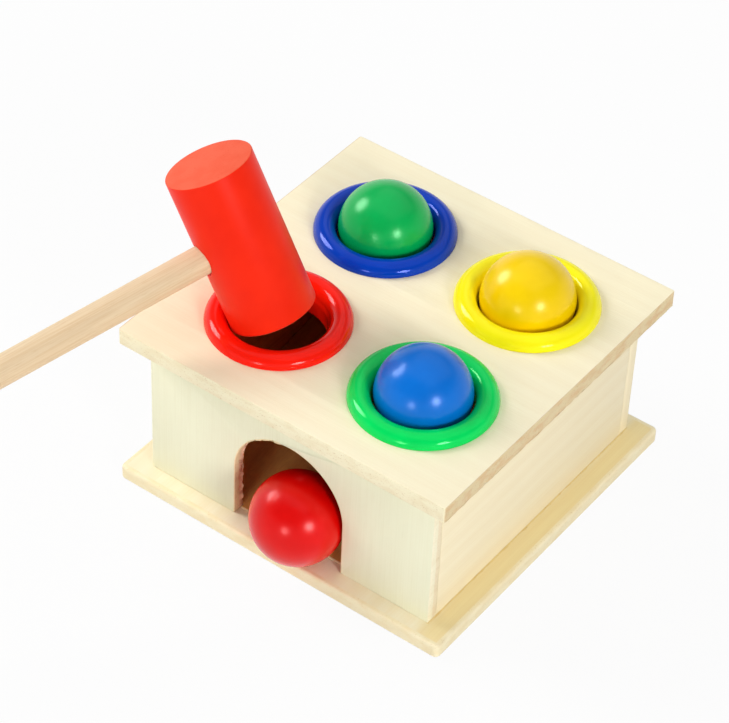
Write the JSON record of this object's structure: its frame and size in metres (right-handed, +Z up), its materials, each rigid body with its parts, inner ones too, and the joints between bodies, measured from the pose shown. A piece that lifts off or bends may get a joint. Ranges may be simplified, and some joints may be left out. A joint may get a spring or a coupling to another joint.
{
  "type": "pounding bench",
  "caption": "Wooden box toy with coloured rings in its lid, balls that are knocked through them onto a ramp and roll out of an arch, and a peg hammer.",
  "frame": {"origin": "middle of the base plate's underside, on which the bench rests", "axes": "+Z up, -Y towards the arch side, +X to the right of someone who faces the arch"},
  "size_m": [0.1742, 0.2455, 0.1291],
  "materials": {
    "lid_wood": "sanded, clear matt lacquer",
    "front_wood": "sanded, bare",
    "side_wood": "sanded, bare",
    "base_wood": "sanded, clear matt lacquer",
    "ramp_wood": "bare plywood",
    "handle_wood": "turned, bare",
    "hammer_paint": "satin paint on wood",
    "green_paint": "gloss paint on wood",
    "yellow_paint": "gloss paint on wood",
    "blue_paint": "gloss paint on wood",
    "red_paint": "gloss paint on wood",
    "blue_plastic": "moulded, glossy",
    "yellow_plastic": "moulded, glossy",
    "green_plastic": "moulded, glossy",
    "red_plastic": "moulded, glossy",
    "brad_steel": "bright wire"
  },
  "bodies": {
    "box": {"base_plate": "base_wood", "front_wall": "front_wood", "back_wall": "front_wood", "right_wall": "side_wood", "left_wall": "side_wood", "top_plate": "lid_wood", "ramp_board": "ramp_wood", "ramp_cleat": "ramp_wood", "blue_ring": "blue_plastic", "yellow_ring": "yellow_plastic", "green_ring": "green_plastic", "red_ring": "red_plastic", "base_brad_1": "brad_steel", "base_brad_2": "brad_steel", "base_brad_3": "brad_steel", "base_brad_4": "brad_steel", "base_brad_5": "brad_steel", "base_brad_6": "brad_steel", "base_brad_7": "brad_steel", "base_brad_8": "brad_steel"},
    "green_ball": {"green_ball": "green_paint"},
    "yellow_ball": {"yellow_ball": "yellow_paint"},
    "blue_ball": {"blue_ball": "blue_paint"},
    "red_ball": {"red_ball": "red_paint"},
    "hammer": {"hammer_head": "hammer_paint", "hammer_handle": "handle_wood"}
  },
  "joints": [
    {"name": "green_ball_drop", "type": "slide", "parent": "box", "child": "green_ball", "axis": [0, 0, 1], "range_m": [-0.0321, 0]},
    {"name": "yellow_ball_drop", "type": "slide", "parent": "box", "child": "yellow_ball", "axis": [0, 0, 1], "range_m": [-0.0321, 0]},
    {"name": "blue_ball_drop", "type": "slide", "parent": "box", "child": "blue_ball", "axis": [0, 0, 1], "range_m": [-0.0423, 0]},
    {"name": "red_ball_roll", "type": "slide", "parent": "box", "child": "red_ball", "axis": [0, 0.9848, 0.1736], "range_m": [0, 0.0605]},
    {"name": "hammer_swing", "type": "hinge", "parent": "box", "child": "hammer", "pos_m": [-0.0967, -0.16136, 0.06168], "axis": [0.8146, -0.4562, 0.3582], "range_deg": [0, 50]}
  ]
}
